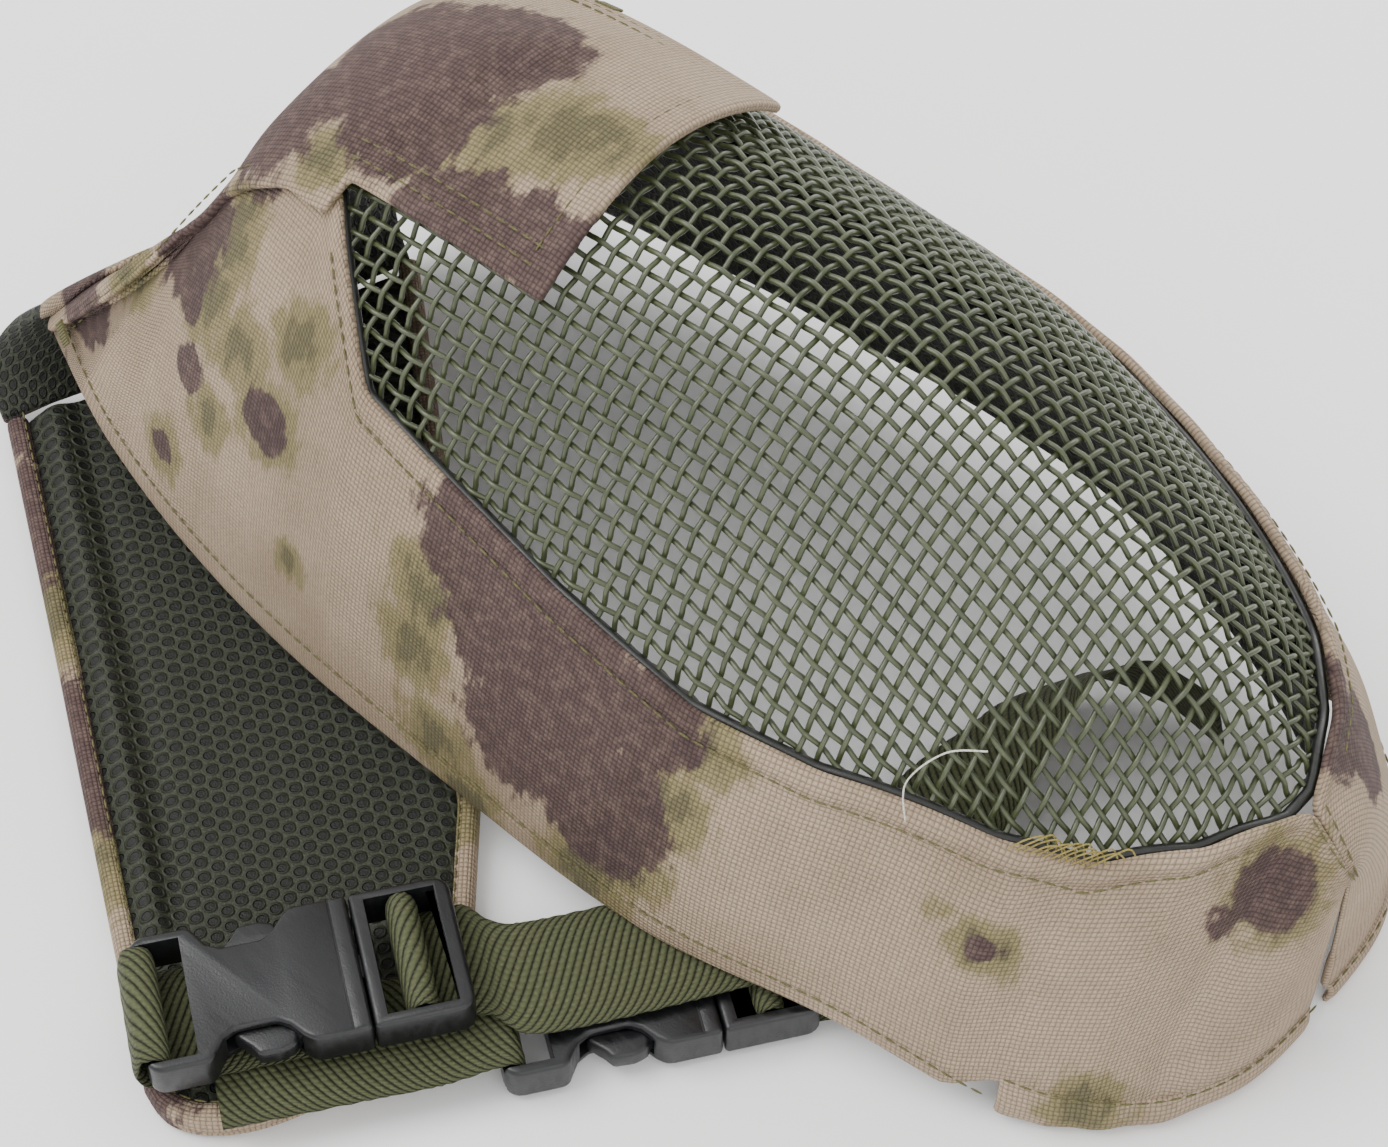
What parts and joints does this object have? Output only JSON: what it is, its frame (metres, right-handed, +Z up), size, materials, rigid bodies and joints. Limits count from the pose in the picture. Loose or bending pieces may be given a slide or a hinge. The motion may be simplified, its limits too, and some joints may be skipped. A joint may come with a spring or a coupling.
{
  "type": "camouflage mesh face mask",
  "caption": "Full-face field mask: woven wire mesh in a camouflage cloth shell, lined inside, with a folded crown flap and elastic straps on side-release buckles.",
  "frame": {"origin": "centre of the whole outline, on the surface that the mask lies on", "axes": "+X from the forehead to the chin, +Y towards the far cheek, away from the buckles, +Z up out of the face as the mask lies face up"},
  "size_m": [0.2944, 0.2266, 0.1172],
  "materials": {
    "camo": "matte",
    "wire": "satin",
    "trim": "satin",
    "spacer": "matte",
    "foam": "matte",
    "elastic": "matte",
    "nylon": "satin"
  },
  "bodies": {
    "mask": {"face_mesh": "wire", "mesh_edge_trim": "trim", "near_side_panel": "camo", "far_side_panel": "camo", "forehead_panel": "camo", "chin_hem_near": "camo", "chin_hem_far": "camo", "near_lining": "spacer", "far_lining": "spacer", "forehead_pad": "foam", "crown_yoke": "camo"},
    "crown_flap": {"flap_cover": "camo", "flap_foam": "foam", "flap_lining": "spacer", "flap_binding": "camo", "loop_one": "elastic", "loop_two": "elastic", "buckle_one_body": "nylon", "buckle_two_body": "nylon"},
    "plug_one": {"buckle_one_plug": "nylon", "buckle_one_arms": "nylon", "strap_far": "elastic"},
    "plug_two": {"buckle_two_plug": "nylon", "buckle_two_arms": "nylon", "strap_near": "elastic"}
  },
  "joints": [
    {"name": "flap_fold", "type": "hinge", "parent": "mask", "child": "crown_flap", "pos_m": [-0.11931, 0.02319, 0], "axis": [0.3289, 0.9443, 0], "range_deg": [0, 15]},
    {"name": "buckle_one_release", "type": "slide", "parent": "crown_flap", "child": "plug_one", "axis": [0.5736, 0.8192, 0], "range_m": [0, 0.02], "deforming": ["buckle_one_arms", "strap_far"]},
    {"name": "buckle_two_release", "type": "slide", "parent": "crown_flap", "child": "plug_two", "axis": [0.5736, 0.8192, 0], "range_m": [0, 0.02], "deforming": ["buckle_two_arms", "strap_near"]}
  ]
}
